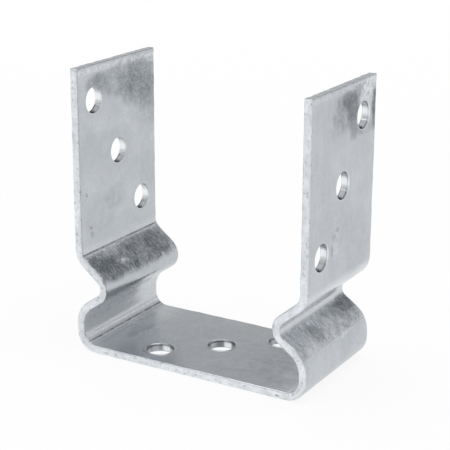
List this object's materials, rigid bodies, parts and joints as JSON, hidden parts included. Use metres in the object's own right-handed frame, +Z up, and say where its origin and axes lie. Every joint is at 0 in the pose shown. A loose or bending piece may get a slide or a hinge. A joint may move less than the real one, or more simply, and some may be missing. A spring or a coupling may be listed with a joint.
{
  "type": "u bracket",
  "caption": "U-shaped galvanised flat steel bracket for the foot of a timber post, with a kinked leg on each side, a flat drilled base and holes in diagonal rows.",
  "frame": {"origin": "middle of the base's underside, on the ground plane", "axes": "+Z up along the legs, +X across the U from the left leg to the right leg, +Y across the bar's width, away from the viewer of the picture"},
  "size_m": [0.097, 0.05, 0.108],
  "materials": {
    "galvanised_steel": "satin"
  },
  "bodies": {
    "root": {"u_bracket": "galvanised_steel"}
  },
  "joints": []
}
